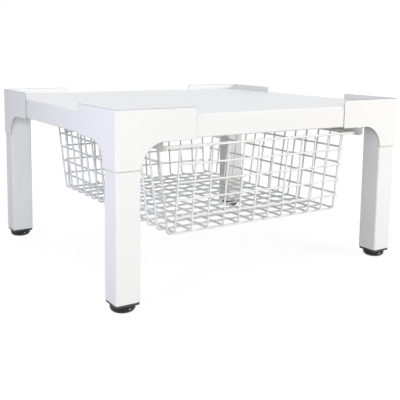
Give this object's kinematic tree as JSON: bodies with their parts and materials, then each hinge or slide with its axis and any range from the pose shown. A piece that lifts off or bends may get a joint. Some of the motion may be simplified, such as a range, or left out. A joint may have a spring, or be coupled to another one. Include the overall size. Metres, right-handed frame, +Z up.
{
  "type": "laundry pedestal",
  "caption": "Low white steel stand that carries a washing machine or dryer, with a wire basket that slides out below it and screw feet.",
  "frame": {"origin": "middle of the footprint, on the floor under the feet", "axes": "+X to the right as seen from the front, +Y to the back, +Z up; the basket slides out along -Y"},
  "size_m": [0.62, 0.555, 0.323],
  "materials": {
    "powder_white": "glossy powder coat",
    "basket_white": "smooth plastic coat on wire",
    "black_plastic": "satin",
    "black_foot": "glossy",
    "zinc_steel": "zinc plated",
    "brass": "plain"
  },
  "bodies": {
    "stand": {"top_pan": "powder_white", "bracket_front_left": "powder_white", "bracket_front_right": "powder_white", "bracket_back_left": "powder_white", "bracket_back_right": "powder_white", "leg_front_left": "powder_white", "leg_front_right": "powder_white", "leg_back_left": "powder_white", "leg_back_right": "powder_white", "leg_plug_front_left": "black_plastic", "leg_plug_front_right": "black_plastic", "leg_plug_back_left": "black_plastic", "leg_plug_back_right": "black_plastic", "plug_bush_front_left": "brass", "plug_bush_front_right": "brass", "plug_bush_back_left": "brass", "plug_bush_back_right": "brass", "bracket_studs": "zinc_steel", "bracket_nuts": "zinc_steel", "runner_left": "powder_white", "runner_right": "powder_white", "runner_screws": "zinc_steel", "runner_nuts": "zinc_steel"},
    "basket": {"basket_rim": "basket_white", "basket_floor": "basket_white", "basket_front": "basket_white", "basket_back": "basket_white", "basket_left": "basket_white", "basket_right": "basket_white"},
    "foot_front_left": {"foot_front_left": "black_foot", "foot_bolt_front_left": "zinc_steel"},
    "foot_front_right": {"foot_front_right": "black_foot", "foot_bolt_front_right": "zinc_steel"},
    "foot_back_left": {"foot_back_left": "black_foot", "foot_bolt_back_left": "zinc_steel"},
    "foot_back_right": {"foot_back_right": "black_foot", "foot_bolt_back_right": "zinc_steel"}
  },
  "joints": [
    {"name": "basket_slide", "type": "slide", "parent": "stand", "child": "basket", "axis": [0, -1, 0], "range_m": [0, 0.38]},
    {"name": "height_front_left", "type": "slide", "parent": "stand", "child": "foot_front_left", "axis": [0, 0, -1], "range_m": [0, 0.012]},
    {"name": "height_front_right", "type": "slide", "parent": "stand", "child": "foot_front_right", "axis": [0, 0, -1], "range_m": [0, 0.012]},
    {"name": "height_back_left", "type": "slide", "parent": "stand", "child": "foot_back_left", "axis": [0, 0, -1], "range_m": [0, 0.012]},
    {"name": "height_back_right", "type": "slide", "parent": "stand", "child": "foot_back_right", "axis": [0, 0, -1], "range_m": [0, 0.012]}
  ]
}
